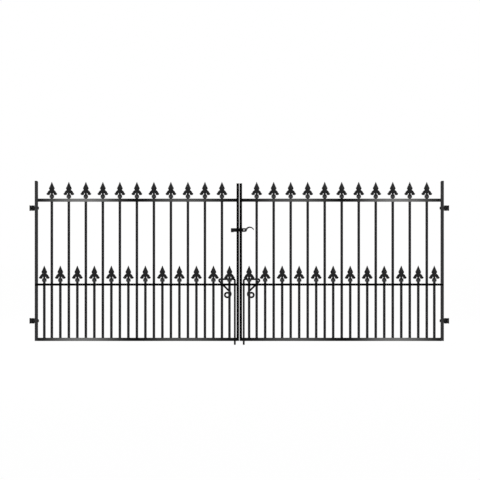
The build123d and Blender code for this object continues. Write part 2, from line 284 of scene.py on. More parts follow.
def joined(*meshes):
    """Several meshes as one."""
    work = bmesh.new()
    for mesh in meshes:
        work.from_mesh(mesh)
        bpy.data.meshes.remove(mesh)
    mesh = bpy.data.meshes.new("work")
    work.to_mesh(mesh)
    work.free()
    return mesh


def mirrored(mesh):
    """The same mesh on the other leaf, turned right side out again."""
    other = mesh.copy()
    other.transform(Matrix.Translation((2 * MIDDLE, 0, 0)) @ Matrix.Scale(-1, 4, (1, 0, 0)))
    other.flip_normals()
    return other


# %% Sawn bar
def sawn(low, high, eased):
    """Square-section bar between two corners, with eased edges."""
    low, high = Vector(low), Vector(high)
    work = bmesh.new()
    bmesh.ops.create_cube(work, size=1)
    for vert in work.verts:
        vert.co = Vector(low[i] + (vert.co[i] + 0.5) * (high[i] - low[i]) for i in range(3))
    bmesh.ops.bevel(
        work, geom=work.edges[:], offset=eased, segments=2, profile=0.5, affect="EDGES"
    )
    return keep(work)


# %% Sheet and tube, cut to an outline
def cut_out(outline, holes, thick, eased, place):
    """Plate or tube from a flat outline with holes, as a filled curve gives it."""
    flat = bpy.data.curves.new("outline", "CURVE")
    flat.dimensions, flat.fill_mode = "2D", "BOTH"
    flat.extrude, flat.bevel_depth = thick / 2 - eased, eased
    flat.bevel_resolution, flat.offset = 1, -eased
    for points in (outline, *[hole[::-1] for hole in holes]):
        run = flat.splines.new("POLY")
        run.points.add(len(points) - 1)
        for spot, (x, y) in zip(run.points, points):
            spot.co = (x, y, 0, 1)
        run.use_cyclic_u = True
    blank = bpy.data.objects.new("outline", flat)
    mesh = bpy.data.meshes.new_from_object(blank)
    bpy.data.objects.remove(blank)
    work = bmesh.new()
    work.from_mesh(mesh)
    mesh = keep(work)
    mesh.transform(place)
    return mesh


def upright(y):
    """Stands a flat outline up in the gate's plane, at depth y."""
    return Matrix.Translation((0, y, 0)) @ Matrix.Rotation(math.pi / 2, 4, "X")


def circle(radius, middle=(0, 0), sides=40, start=0.0, sweep=math.tau):
    """Points round a circle or an arc, anticlockwise."""
    full = abs(sweep - math.tau) < 1e-9
    count = sides if full else sides + 1
    angles = [start + sweep * k / sides for k in range(count)]
    return [(middle[0] + radius * math.cos(a), middle[1] + radius * math.sin(a)) for a in angles]


def rounded(width, height, corner):
    """Points of a rectangle with round corners, anticlockwise from the lower right."""
    x, y = width / 2 - corner, height / 2 - corner
    corners = [(x, -y, -0.25), (x, y, 0.0), (-x, y, 0.25), (-x, -y, 0.5)]
    return [
        spot
        for cx, cy, turn in corners
        for spot in circle(corner, (cx, cy), 4, turn * math.tau, math.tau / 4)
    ]


# %% Turned and drawn rod
def turned(profile, start, direction, sides=40):
    """Lathe work: pairs of distance along the axis and radius there."""
    turn = Vector((0, 0, 1)).rotation_difference(Vector(direction)).to_matrix().to_4x4()
    place = Matrix.Translation(start) @ turn
    work = bmesh.new()
    rings = [
        [work.verts.new(place @ Vector((x, y, along))) for x, y in circle(radius, sides=sides)]
        for along, radius in profile
    ]
    return skinned(work, rings)


def skinned(work, rings):
    """Closes a row of rings into a skin with an end face on each side."""
    for first, second in zip(rings, rings[1:]):
        for k in range(len(first)):
            n = (k + 1) % len(first)
            work.faces.new((first[k], first[n], second[n], second[k]))
    work.faces.new(rings[0][::-1])
    work.faces.new(rings[-1])
    return keep(work)


def drawn(path, radii, y, sides=20, depth=1.0, blunt=1.0):
    """Rod along points in the gate's plane at depth y; blunt flattens its first end."""
    path = [Vector((x, 0, z)) for x, z in path]
    work, rings = bmesh.new(), []

    def ring(centre, along, radius):
        across = Vector((-along.z, 0, along.x))
        spots = circle(radius, sides=sides)
        rings.append(
            [work.verts.new(centre + across * u + Vector((0, y + v * depth, 0))) for u, v in spots]
        )

    last = len(path) - 1
    for k, spot in enumerate(path):
        along = (path[min(k + 1, last)] - path[max(k - 1, 0)]).normalized()
        radius = radii[k]
        if k == 0:
            for a in (75, 50, 25):
                lean = math.radians(a)
                ring(spot - along * radius * math.sin(lean) * blunt, along, radius * math.cos(lean))
        ring(spot, along, radius)
        if k == last:
            for a in (25, 50, 75):
                lean = math.radians(a)
                ring(spot + along * radius * math.sin(lean), along, radius * math.cos(lean))
    return skinned(work, rings)


# %% Handing a finished mesh over as a piece of the gate
def worked(mesh, *tools):
    """The mesh after modifiers, each given as its type and settings, are applied."""
    block = bpy.data.objects.new("workpiece", mesh)
    bpy.context.collection.objects.link(block)
    for kind, settings in tools:
        tool = block.modifiers.new(kind, kind)
        for setting, value in settings.items():
            setattr(tool, setting, value)
    seen = block.evaluated_get(bpy.context.evaluated_depsgraph_get())
    result = bpy.data.meshes.new_from_object(seen)
    bpy.data.objects.remove(block)
    return result


def hand_over(mesh, name, body, paint, *nodes):
    """Shades a mesh, rides it on its body and lets it stand for its CAD nodes."""
    mesh.shade_smooth()
    mesh.set_sharp_from_angle(angle=math.radians(40))
    mesh = worked(mesh, ("WEIGHTED_NORMAL", {"keep_sharp": True, "weight": 100}))
    mesh.name = name
    mesh.materials.clear()
    mesh.materials.append(PAINT[paint])
    piece = bpy.data.objects.new(name, mesh)
    bpy.context.collection.objects.link(piece)
    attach(piece, body)
    if nodes:
        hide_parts(*nodes)
    print(name, "has", len(mesh.polygons), "faces")


def both_leaves(make, name, paint, *nodes, body="leaf"):
    """Makes a piece for the left side and its mirror image for the right."""
    for side in ("left", "right"):
        mesh = make()
        if side == "right":
            mesh = mirrored(mesh)
        rides = body if body == "post_brackets" else f"{side}_{body}"
        hand_over(mesh, f"{name}_{side}", rides, paint, *[f"{side}_{node}" for node in nodes])


# %% [markdown]
# ## The frame
# Each leaf is framed by a box-section hinge stile, two box-section rails, a solid middle
# rail and a solid meeting stile. Box section has rounded corners, and its lower end is
# open. A cube with a bevel does for the solid bars, but the tube needs a hole right
# through, so a rounded outline with a rounded hole is drawn as a flat curve and given
# its length as thickness. The middle rail runs on across the hinge stile, let into it.

# %% Hinge stiles and box rails
FILM = 0.3 * MM              # primer and two coats, which thicken every bar a little
WALL = 2.0 * MM
TUBE_CORNER = 1.0 * MM
CUT_EDGE = 0.3 * MM          # how much file and paint take off a cut edge


def tube_along(node, axis):
    """Box section that fills a node's box, open at both ends."""
    low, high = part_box(node)
    middle, size = (low + high) / 2, high - low
    turn = {"X": Matrix.Rotation(math.pi / 2, 4, "Y"), "Z": Matrix.Identity(4)}[axis]
    width = (size.z if axis == "X" else size.x) + 2 * FILM
    length = size.x if axis == "X" else size.z
    outline = rounded(width, size.y + 2 * FILM, TUBE_CORNER)
    bore = rounded(width - 2 * WALL, size.y - 2 * WALL, TUBE_CORNER / 2)
    return cut_out(outline, [bore], length, CUT_EDGE, Matrix.Translation(middle) @ turn)


both_leaves(lambda: tube_along("left_hinge_stile", "Z"), "hinge_stile", "stile", "hinge_stile")
both_leaves(lambda: tube_along("left_top_rail", "X"), "top_rail", "rail", "top_rail")
both_leaves(lambda: tube_along("left_bottom_rail", "X"), "bottom_rail", "rail", "bottom_rail")

# %% Solid middle rail and meeting stile
TOUCHED_UP = 1.2 * MM        # thicker paint where the meeting stiles knock together
PROUD = 0.6 * MM             # the middle rail's film, a little proud of the stile's
BAR_EDGE = 0.4 * MM


def painted_bar(node, below, above):
    """Solid bar as long as its node, thickened by its film of paint."""
    low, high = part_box(node)
    return sawn(low - Vector(below), high + Vector(above), BAR_EDGE)


def mid_rail():
    """The middle rail, let right across the hinge stile and dressed nearly flush with it."""
    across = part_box("left_mid_rail")[0].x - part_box("left_hinge_stile")[0].x - 0.8 * MM
    return painted_bar("left_mid_rail", (across, PROUD, FILM), (0, PROUD, FILM))


def meeting_stile():
    film = (TOUCHED_UP, FILM, 0)
    return painted_bar("left_meeting_stile", film, film)


# The solid pieces take the near-black paint, which is painted shade.
both_leaves(mid_rail, "mid_rail", "solid", "mid_rail")
both_leaves(meeting_stile, "meeting_stile", "solid", "meeting_stile")

# %% [markdown]
# ## Stile caps
# The open top of each hinge stile is plugged with a cap whose upper corner on the
# gate's side is rounded off. Seen from the front that is a flat outline, so it is cut
# out like sheet and given the stile's depth.

# %% Caps
def cap():
    low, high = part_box("left_stile_cap")
    stile_low, stile_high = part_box("left_hinge_stile")
    depth = stile_high.y - stile_low.y + 2 * FILM
    round_off = min(8 * MM, (high.z - stile_high.z) * 0.92)
    base, top = stile_high.z, high.z
    left, right = stile_low.x - FILM, stile_high.x + FILM
    arc = circle(round_off, (right - round_off, top - round_off), 8, 0, math.pi / 2)
    outline = [(left, base), (right, base), *arc, (left, top)]
    return cut_out(outline, [], depth, 0.7 * MM, upright((low.y + high.y) / 2))


both_leaves(cap, "stile_cap", "stile", "stile_cap")

# %% [markdown]
# ## Rows of bars
# Twenty-three square bars stand in each leaf, so they are made once by Geometry Nodes
# and set on a row of points. Square bar is a line with a rounded square as its profile.
# Its width, corner and height are inputs of the tree, so the same tree serves the
# tall bars and the short dog bars between them.

# %% Building and running a node tree
class Recipe:
    """A Geometry Nodes tree with named inputs, which makes one plain mesh."""

    def __init__(self, name, **inputs):
        self.tree = bpy.data.node_groups.new(name, "GeometryNodeTree")
        self.sockets = {}
        face = self.tree.interface
        face.new_socket("Geometry", in_out="INPUT", socket_type="NodeSocketGeometry")
        for label, kind in inputs.items():
            self.sockets[label] = face.new_socket(
                label, in_out="INPUT", socket_type=f"NodeSocket{kind}"
            ).identifier
        face.new_socket("Geometry", in_out="OUTPUT", socket_type="NodeSocketGeometry")
        self.start = self.tree.nodes.new("NodeGroupInput")

    def add(self, kind, settings=None, sockets=None, output=0):
        """Adds a node, fed with values or other sockets, and returns one of its outputs."""
        node = self.tree.nodes.new(kind)
        for setting, value in (settings or {}).items():
            setattr(node, setting, value)
        for socket, value in (sockets or {}).items():
            if isinstance(value, bpy.types.NodeSocket):
                self.tree.links.new(value, node.inputs[socket])
            else:
                node.inputs[socket].default_value = value
        return node.outputs[output]

    def given(self, label):
        return self.start.outputs[label]

    def end(self, geometry, paint):
        """Closes the tree with real faces and their paint."""
        real = self.add("GeometryNodeRealizeInstances", {}, {0: geometry})
        painted = self.add("GeometryNodeSetMaterial", {}, {"Geometry": real, "Material": paint})
        leave = self.tree.nodes.new("NodeGroupOutput")
        self.tree.links.new(painted, leave.inputs[0])

    def make(self, points, **values):
        """Runs the tree on a row of points and returns the mesh."""
        row = bpy.data.meshes.new("row")
        row.from_pydata([tuple(point) for point in points], [], [])
        block = bpy.data.objects.new("row", row)
        bpy.context.collection.objects.link(block)
        tool = block.modifiers.new("recipe", "NODES")
        tool.node_group = self.tree
        for label, value in values.items():
            tool[self.sockets[label]] = value
        seen = block.evaluated_get(bpy.context.evaluated_depsgraph_get())
        mesh = bpy.data.meshes.new_from_object(seen)
        bpy.data.objects.remove(block)
        return mesh


# %% Square bars
square_bars = Recipe(
    "square_bars", Width="Float", Corner="Float", Height="Float", Paint="Material"
)
reach = square_bars.add("ShaderNodeCombineXYZ", {}, {"Z": square_bars.given("Height")})
line = square_bars.add("GeometryNodeCurvePrimitiveLine", {}, {"End": reach})
width = square_bars.given("Width")
square = square_bars.add(
    "GeometryNodeCurvePrimitiveQuadrilateral", {}, {"Width": width, "Height": width}
)
corners = {"Curve": square, "Radius": square_bars.given("Corner"), "Count": 3}
profile = square_bars.add("GeometryNodeFilletCurve", {"mode": "POLY"}, corners)
bar = square_bars.add(
    "GeometryNodeCurveToMesh", {}, {"Curve": line, "Profile Curve": profile, "Fill Caps": True}
)
bars = square_bars.add(
    "GeometryNodeInstanceOnPoints", {}, {"Points": square_bars.given("Geometry"), "Instance": bar}
)
square_bars.end(bars, square_bars.given("Paint"))

TALL_COUNT = 11
tall_low, tall_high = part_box("left_tall_bars")
dog_low, dog_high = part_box("left_dog_bars")
BAR = tall_high.y - tall_low.y
first, last = tall_low.x + BAR / 2, tall_high.x - BAR / 2
TALL_XS = [first + (last - first) * k / (TALL_COUNT - 1) for k in range(TALL_COUNT)]
BETWEEN = [(a + b) / 2 for a, b in zip(TALL_XS, TALL_XS[1:])]
DOG_XS = [dog_low.x + BAR / 2, *BETWEEN, dog_high.x - BAR / 2]


def bar_row(xs, low, high):
    return square_bars.make(
        [(x, 0, low.z) for x in xs],
        Width=BAR + 2 * FILM, Corner=BAR_EDGE, Height=high.z - low.z, Paint=PAINT["bar"],
    )


both_leaves(lambda: bar_row(TALL_XS, tall_low, tall_high), "tall_bars", "bar", "tall_bars")
both_leaves(lambda: bar_row(DOG_XS, dog_low, dog_high), "dog_bars", "bar", "dog_bars")
PITCH = TALL_XS[1] - TALL_XS[0]
print("bars", round(BAR / MM, 1), "mm square, pitch", round(PITCH / MM, 1), "mm")

# %% [markdown]
# ## The spear head
# The head is one small iron casting: a ridged blade, two drooping arms with flicked
# tips, a stem and a round knop that sits on the bar. A casting has no seams, so its
# parts are first modelled as overlapping solids, then melted together with a voxel
# remesh, smoothed a little and thinned to a couple of thousand faces.

# %% The parts of the casting
def blade():
    """Rings of a ridged blade: height, half width and half thickness in mm."""
    rows = [
        (93.6, 0.9, 0.9), (89, 2.9, 2.1), (84, 4.8, 3.1), (78, 7.4, 4.2), (72, 10.0, 4.9),
        (66.6, 12.4, 5.5), (61, 15.2, 5.9), (57.5, 17.0, 6.1), (54, 17.0, 6.1), (50.5, 14.8, 5.9),
        (47, 12.8, 5.8), (42, 10.0, 5.5),
    ]
    work = bmesh.new()
    rings = []
    for z, w, t in rows:
        quarter = [(w, 0), (w * 0.86, t * 0.20), (w * 0.42, t * 0.52), (0, t)]
        loop = quarter + [(-x, y) for x, y in quarter[-2::-1]]
        loop += [(x, -y) for x, y in loop[-2:0:-1]]
        rings.append([work.verts.new((x * MM, y * MM, z * MM)) for x, y in loop])
    return skinned(work, rings)


def arms():
    """Two thick drooping arms with flicked tips, as one outline with well rounded edges."""
    side = [
        (0, 48), (7.5, 48), (13.5, 45.8), (18.5, 42.2), (22.6, 37.8), (25, 33), (26.6, 29.6),
        (29, 27.6), (31.6, 26.2), (31, 22.4), (29, 19), (26, 17), (22.8, 16.4), (19.4, 16.3),
        (15.5, 16.7), (12.0, 18.1), (10.4, 20.8), (9.9, 24), (8.8, 27.6), (6, 28.4),
    ]
    outline = [(-x * MM, z * MM) for x, z in side] + [(x * MM, z * MM) for x, z in side[:0:-1]]
    thick, eased = 9.6 * MM, 2.4 * MM
    return cut_out(outline, [], thick, eased, upright(0))


def knop_and_stem():
    """Knop with the stem above it, a little wider than it is deep."""
    profile = [
        (0, 11.4), (2.6, 12.5), (6, 12.9), (10.5, 12.8), (14.2, 12.0), (16.8, 10.3), (19, 8.2),
        (21, 6.6), (25, 6.1), (36, 5.9), (44, 5.9),
    ]
    mesh = turned([(a * MM, r * MM) for a, r in profile], (0, 0, 0), (0, 0, 1), 32)
    mesh.transform(Matrix.Scale(1.06, 4, (1, 0, 0)))
    return mesh


# %% Melting the parts into one casting
HEAD_FACES = 2200
rough_head = joined(blade(), arms(), knop_and_stem())
head_mesh = worked(
    rough_head,
    ("REMESH", {"mode": "VOXEL", "voxel_size": 0.8 * MM, "adaptivity": 0.0}),
    ("SMOOTH", {"factor": 0.5, "iterations": 3}),
)
melted_triangles = 2 * len(head_mesh.polygons)
head_mesh = worked(head_mesh, ("DECIMATE", {"ratio": min(1.0, HEAD_FACES / melted_triangles)}))
head_mesh.name = "spear_head"
print("one head has", len(head_mesh.polygons), "faces")

# %% [markdown]
# ## Heads on every bar
# Forty-six heads sit on the bars. A second tree sets the casting on each point, turned
# by a degree or so either way from a fixed seed, as heads are when they are welded on
# by eye.

# %% Heads in rows
head_rows = Recipe("head_rows", Casting="Object", Lean="Float", Seed="Int", Paint="Material")
casting = head_rows.add(
    "GeometryNodeObjectInfo", {}, {"Object": head_rows.given("Casting")}, output="Geometry"
)
lean = head_rows.given("Lean")
minus = head_rows.add("ShaderNodeMath", {"operation": "MULTIPLY"}, {0: lean, 1: -1.0})
turn = head_rows.add(
    "FunctionNodeRandomValue", {}, {2: minus, 3: lean, "Seed": head_rows.given("Seed")}, output=1
)
around = head_rows.add("ShaderNodeCombineXYZ", {}, {"Z": turn})
heads = head_rows.add(
    "GeometryNodeInstanceOnPoints",
    {},
    {"Points": head_rows.given("Geometry"), "Instance": casting, "Rotation": around},
)
head_rows.end(heads, head_rows.given("Paint"))
pattern = bpy.data.objects.new("head_pattern", head_mesh)
bpy.context.collection.objects.link(pattern)


def heads_on(xs, z, seed):
    return head_rows.make(
        [(x, 0, z) for x in xs],
        Casting=pattern, Lean=math.radians(1.2), Seed=seed, Paint=PAINT["casting"],
    )


both_leaves(lambda: heads_on(TALL_XS, tall_high.z, 3), "tall_heads", "casting", "tall_heads")
both_leaves(lambda: heads_on(DOG_XS, dog_high.z, 8), "dog_heads", "casting", "dog_heads")
bpy.data.objects.remove(pattern)

# %% [markdown]
# ## Weld beads
# Every bar is welded where it meets a rail, and the rails where they meet the stiles.
# A bead is a small uneven ring round the bar. A third tree sweeps a small circle round a
# rounded square, shakes it with noise after the copies are made real, so that no two
# beads are alike, and takes the ring's width and height as inputs.

# %% Beads
BEAD = 1.3 * MM              # thickness of a bead, and the most that noise shakes it

beads = Recipe(
    "weld_beads", Width="Float", Height="Float", Bead="Float", Turn="Vector", Paint="Material"
)
loop = beads.add(
    "GeometryNodeCurvePrimitiveQuadrilateral",
    {},
    {"Width": beads.given("Width"), "Height": beads.given("Height")},
)
soft = beads.add(
    "GeometryNodeFilletCurve", {"mode": "POLY"}, {"Curve": loop, "Radius": 1.5 * MM, "Count": 2}
)
even = beads.add("GeometryNodeResampleCurve", {}, {"Curve": soft, "Count": 28})
wire = beads.add(
    "GeometryNodeCurvePrimitiveCircle", {}, {"Resolution": 6, "Radius": beads.given("Bead")}
)
ring = beads.add("GeometryNodeCurveToMesh", {}, {"Curve": even, "Profile Curve": wire})
rings = beads.add(
    "GeometryNodeInstanceOnPoints",
    {},
    {"Points": beads.given("Geometry"), "Instance": ring, "Rotation": beads.given("Turn")},
)
loose = beads.add("GeometryNodeRealizeInstances", {}, {0: rings})
where = beads.add("GeometryNodeInputPosition")
shake = beads.add(
    "ShaderNodeTexNoise",
    {"noise_dimensions": "3D"},
    {"Vector": where, "Scale": 330.0},
    output="Fac",
)
swell = beads.add("ShaderNodeMath", {"operation": "SUBTRACT"}, {0: shake, 1: 0.5})
little = beads.add("ShaderNodeMath", {"operation": "MULTIPLY"}, {0: swell, 1: BEAD})
outward = beads.add("GeometryNodeInputNormal")
push = beads.add("ShaderNodeVectorMath", {"operation": "SCALE"}, {0: outward, "Scale": little})
uneven = beads.add("GeometryNodeSetPosition", {}, {"Geometry": loose, "Offset": push})
beads.end(uneven, beads.given("Paint"))


def bead_rings(points, width, height, turn):
    return beads.make(
        points, Width=width, Height=height, Bead=BEAD, Turn=turn, Paint=PAINT["bar"]
    )


def bar_beads():
    """Beads round the bars, on the rails they stand on or pass through."""
    rails = {name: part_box(f"left_{name}_rail") for name in ("top", "mid", "bottom")}
    points = [(x, 0, rails["bottom"][1].z) for x in TALL_XS + DOG_XS]
    points += [(x, 0, z) for x in TALL_XS + DOG_XS for z in (rails["mid"][0].z, rails["mid"][1].z)]
    points += [(x, 0, z) for x in TALL_XS for z in (rails["top"][0].z, rails["top"][1].z)]
    return bead_rings(points, BAR + BEAD / 2, BAR + BEAD / 2, (0, 0, 0))


def rail_beads():
    """Beads round the ends of the rails, on the stiles."""
    meshes = []
    for name in ("top", "mid", "bottom"):
        low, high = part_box(f"left_{name}_rail")
        middle = (low.z + high.z) / 2
        ends = [(low.x + FILM, 0, middle), (high.x - TOUCHED_UP, 0, middle)]
        across = (0, math.pi / 2, 0)
        depth = high.y - low.y - 1.5 * BEAD
        meshes.append(bead_rings(ends, high.z - low.z + BEAD / 3, depth, across))
    return joined(*meshes)


both_leaves(bar_beads, "bar_beads", "bar")
both_leaves(rail_beads, "rail_beads", "bar")

# %% [markdown]
# ## Hinges
# A leaf hangs on two eye bolts that pass through its hinge stile and are held by a nut.
# Each eye turns on a pin between the two ears of a bracket, whose plate is screwed to
# the post. Plates and ears are cut from sheet, pins are turned, and the nut gets the
# chamfer that real nuts have, where a cone meets the hexagon.

# %% Sizes of the hinge's stock
PIN_X = 18 * MM              # from the post to the pin's middle
PIN_RADIUS = 5 * MM
PIN_HEAD, PIN_HEAD_RADIUS = 1 * MM, 7.5 * MM
PLATE_THICK = EAR_THICK = 4 * MM
SCREW_HOLE, SCREW_SPACING = 3.5 * MM, 38 * MM
EYE_RADIUS, EYE_PLAY = 10.5 * MM, 0.05 * MM
print("pins", round(2 * PIN_RADIUS / MM), "mm, eyes", round(2 * EYE_RADIUS / MM), "mm across")

# %% Brackets and pins
def bracket(level):
    low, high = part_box(f"left_{level}_bracket")
    middle, radius = (low.z + high.z) / 2, high.x - PIN_X
    holes = [circle(SCREW_HOLE, (sign * SCREW_SPACING / 2, 0), 24) for sign in (-1, 1)]
    to_post = Matrix.Translation((PLATE_THICK / 2, 0, middle)) @ Matrix(
        ((0, 0, 1, 0), (1, 0, 0, 0), (0, 1, 0, 0), (0, 0, 0, 1))
    )
    plate = rounded(high.y - low.y, high.z - low.z + 2 * FILM, 3 * MM)
    meshes = [cut_out(plate, holes, PLATE_THICK, CUT_EDGE, to_post)]
    reach = (high.z - low.z) / 2 - PIN_HEAD - EAR_THICK / 2
    throat_low = (PLATE_THICK - 1 * MM, -radius, middle - reach)
    throat_high = (PLATE_THICK + 3 * MM, radius, middle + reach)
    meshes.append(sawn(throat_low, throat_high, 0.5 * MM))
    arc = circle(radius, (PIN_X, 0), 24, -math.pi / 2, math.pi)
    root = PLATE_THICK - 0.5 * MM
    ear = [(root, -radius), *arc, (root, radius)]
    bore = circle(PIN_RADIUS + 0.2 * MM, (PIN_X, 0), 32)
    for sign in (-1, 1):
        place = Matrix.Translation((0, 0, middle + sign * (reach + FILM)))
        meshes.append(cut_out(ear, [bore], EAR_THICK + 2 * FILM, 1.8 * MM, place))
    return joined(*meshes)


def pin(level):
    low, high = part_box(f"left_{level}_pin")
    head, length = PIN_HEAD_RADIUS, high.z - low.z + 2 * FILM
    side = [
        (0, head * 0.84), (PIN_HEAD * 0.35, head * 0.96), (PIN_HEAD * 0.7, head),
        (PIN_HEAD, head), (PIN_HEAD, PIN_RADIUS),
    ]
    profile = side + [(length - along, reach) for along, reach in side[::-1]]
    return turned(profile, ((low.x + high.x) / 2, 0, low.z - FILM), (0, 0, 1))


for level in ("lower", "upper"):
    for make, part in ((bracket, "bracket"), (pin, "pin")):
        name = f"{level}_{part}"
        both_leaves(lambda: make(level), name, "fitting", name, body="post_brackets")

# %% Eye bolts and nuts
PINS = [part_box(f"left_{level}_pin") for level in ("lower", "upper")]
HINGE_ZS = [(low.z + high.z) / 2 for low, high in PINS]
THREAD_PITCH, THREAD_DEPTH, THREAD_TURNS = 1.5 * MM, 0.55 * MM, 9


def eye_bolts():
    low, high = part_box("left_eye_bolts")
    tall, shank = 2 * (high.z - HINGE_ZS[1]), 5 * MM
    meshes = []
    for z in HINGE_ZS:
        bore = circle(PIN_RADIUS + EYE_PLAY, sides=40)
        place = Matrix.Translation((PIN_X, 0, z))
        meshes.append(cut_out(circle(EYE_RADIUS, sides=48), [bore], tall, CUT_EDGE, place))
        collar_x = PIN_X + EYE_RADIUS / 2
        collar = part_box("left_hinge_stile")[0].x - collar_x
        neck = [(0, tall * 0.42), (collar - 0.8 * MM, tall * 0.45), (collar, tall * 0.38)]
        meshes.append(turned(neck, (collar_x, 0, z), (1, 0, 0), 32))
        start = PIN_X + EYE_RADIUS * 0.7
        length = high.x - start
        threaded = length - 0.6 * MM
        thread = [(0, shank)]
        for k in range(THREAD_TURNS, 0, -1):
            along = threaded - k * THREAD_PITCH
            thread += [(along, shank), (along + THREAD_PITCH / 2, shank - THREAD_DEPTH)]
        thread += [(threaded, shank), (length, shank - 0.8 * MM)]
        meshes.append(turned(thread, (start, 0, z), (1, 0, 0), 28))
    return joined(*meshes)


def nuts():
    """Hexagons cut by a cone: each ring is round where the cone is narrower."""
    low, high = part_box("left_eye_nuts")
    thick = high.x - low.x
    flats = min((high.y - low.y) * math.cos(math.pi / 6), 17 * MM)
    meshes, sides = [], 48
    for z in HINGE_ZS:
        work = bmesh.new()
        rings = []
        for along, reach in ((0, 0.985), (0.5 * MM, 2), (thick - 0.8 * MM, 2), (thick, 0.95)):
            ring = []
            for k in range(sides):
                angle = math.tau * k / sides
                near = (angle + math.pi / 6) % (math.pi / 3) - math.pi / 6
                radius = min(flats / 2 / math.cos(near), reach * flats / 2 * 1.06)
                spot = (low.x + along, radius * math.sin(angle), z + radius * math.cos(angle))
                ring.append(work.verts.new(spot))
            rings.append(ring)
        meshes.append(skinned(work, rings))
    return joined(*meshes)


both_leaves(eye_bolts, "eye_bolts", "fitting", "eye_bolts")
both_leaves(nuts, "eye_nuts", "fitting", "eye_nuts")

# %% [markdown]
# ## Drop bolts
# Behind each meeting stile a round rod slides down into a hole in the drive. Its upper
# end is bent over, runs sideways, turns back in a hairpin and ends in a scroll that
# hangs the rod up. It is one bar bent hot, so it is drawn along one path of straight
# runs and arcs, with a blunt foot and a tip that thins a little.

# %% Bolts
def bent(start, heading, steps):
    """Points of a path of runs and turns: ("run", length) or ("turn", radius, degrees)."""
    (x, z), angle = start, math.radians(heading)
    points = [(x, z)]
    for step in steps:
        if step[0] == "run":
            count = max(1, round(step[1] / (60 * MM)))
            for _ in range(count):
                x, z = x + math.cos(angle) * step[1] / count, z + math.sin(angle) * step[1] / count
                points.append((x, z))
        else:
            radius, sweep = step[1], math.radians(step[2])
            count = max(4, round(abs(step[2]) / 9))
            side = 1 if sweep > 0 else -1
            cx, cz = x - side * radius * math.sin(angle), z + side * radius * math.cos(angle)
            for _ in range(count):
                angle += sweep / count
                x, z = cx + side * radius * math.sin(angle), cz - side * radius * math.cos(angle)
                points.append((x, z))
    return points


ROD = 5 * MM                 # radius
PAINTED_ROD = ROD + 2 * FILM # brushed thick, because a rod is painted by hand
OVER_THE_RAIL = ("run", 76 * MM)
HAIRPIN = ("turn", 7.5 * MM, 135)
SLANT = ("run", 84.5 * MM)
SCROLL = [("turn", 19.5 * MM, -150), ("turn", 13.3 * MM, -200)]


def drop_bolt():
    low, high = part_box("left_drop_bolt")
    rod, bend, blunt = PAINTED_ROD, 8 * MM, 0.45
    x, y = high.x - ROD, (low.y + high.y) / 2
    foot = low.z + rod * blunt
    straight = bent((x, foot), 90, [("run", high.z - ROD - bend - foot)])
    handle = [("turn", bend, 90), OVER_THE_RAIL, HAIRPIN, SLANT, *SCROLL]
    path = straight + bent(straight[-1], 90, handle)[1:]
    radii = [rod] * len(path)
    for k, share in enumerate((0.97, 0.92, 0.84)):
        radii[-3 + k] = rod * share
    return drawn(path, radii, y, 24, blunt=blunt)


both_leaves(drop_bolt, "drop_bolt", "fitting", "drop_bolt", body="bolt")

# %% Guides
def guides():
    low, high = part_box("left_bolt_guides")
    bolt_low, bolt_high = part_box("left_drop_bolt")
    x, y = bolt_high.x - ROD, (bolt_low.y + bolt_high.y) / 2
    radius = (high.x - low.x) / 2
    meshes = []
    for rail in ("mid", "bottom"):
        rail_low, rail_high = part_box(f"left_{rail}_rail")
        arc = circle(radius, (x, y), 24, 0, math.pi)
        outline = [(x - radius, rail_high.y - 0.3 * MM), (x + radius, rail_high.y - 0.3 * MM), *arc]
        bore = circle(PAINTED_ROD + 0.3 * MM, (x, y), 32)
        tall = rail_high.z - rail_low.z
        place = Matrix.Translation((0, 0, (rail_low.z + rail_high.z) / 2))
        meshes.append(cut_out(outline, [bore], tall, 0.7 * MM, place))
    return joined(*meshes)


both_leaves(guides, "bolt_guides", "fitting", "bolt_guides")

# %% [markdown]
# ## The latch
# A flat arm pivots on the right meeting stile and drops into a pocket on the left one.
# It has a hole for a padlock and a curled tail to lift it by. The arm and the pocket
# are flat bar, the pivot is turned, and the tail is drawn out of the arm's end, so it
# starts wide and thins towards its flicked tip.

# %% Keeper and pivot
STUD = 4 * MM                # radius of the pivot's shank


def keeper():
    low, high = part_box("latch_keeper")
    thick, pocket, lip_height = 4 * MM, 16 * MM, 14 * MM
    shelf = low.z + thick
    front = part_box("left_meeting_stile")[1].y
    end = low.x + pocket
    plate = sawn((low.x, front, shelf - 0.5 * MM), (high.x, front + thick, high.z), 0.7 * MM)
    floor = sawn((low.x, front, low.z + 1 * MM), (end, high.y, shelf), 0.8 * MM)
    lip_low = (low.x, high.y - thick, low.z + 1.2 * MM)
    lip = sawn(lip_low, (end, high.y, shelf + lip_height), 0.8 * MM)
    return joined(plate, floor, lip)


def pivot():
    low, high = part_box("latch_pivot")
    x, z = (low.x + high.x) / 2, (low.z + high.z) / 2
    boss, length = 6 * MM, high.y - low.y
    boss_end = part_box("latch_arm")[0].y - low.y - 0.3 * MM
    head = length - 3 * MM
    profile = [
        (0, boss), (boss_end - 0.4 * MM, boss), (boss_end, boss - 0.4 * MM), (boss_end, STUD),
        (head, STUD), (head, boss), (head + 1.2 * MM, boss), (head + 2.2 * MM, boss * 0.82),
        (head + 2.8 * MM, boss * 0.5), (length, boss * 0.2),
    ]
    return turned(profile, (x, low.y, z), (0, 1, 0), 36)


hand_over(keeper(), "latch_keeper_dressed", "left_leaf", "fitting", "latch_keeper")
hand_over(pivot(), "latch_pivot_dressed", "right_leaf", "fitting", "latch_pivot")

# %% Arm and tail
PADLOCK_HOLE, HOLE_FROM_PIVOT = 3.1 * MM, 18.5 * MM
TAIL_BEND, TAIL_TURN = 24 * MM, -143
TAIL_ROOT, TAIL_THINS = 6.2 * MM, 3.5 * MM
TAIL_FLAT = 0.55             # its depth as a share of its width


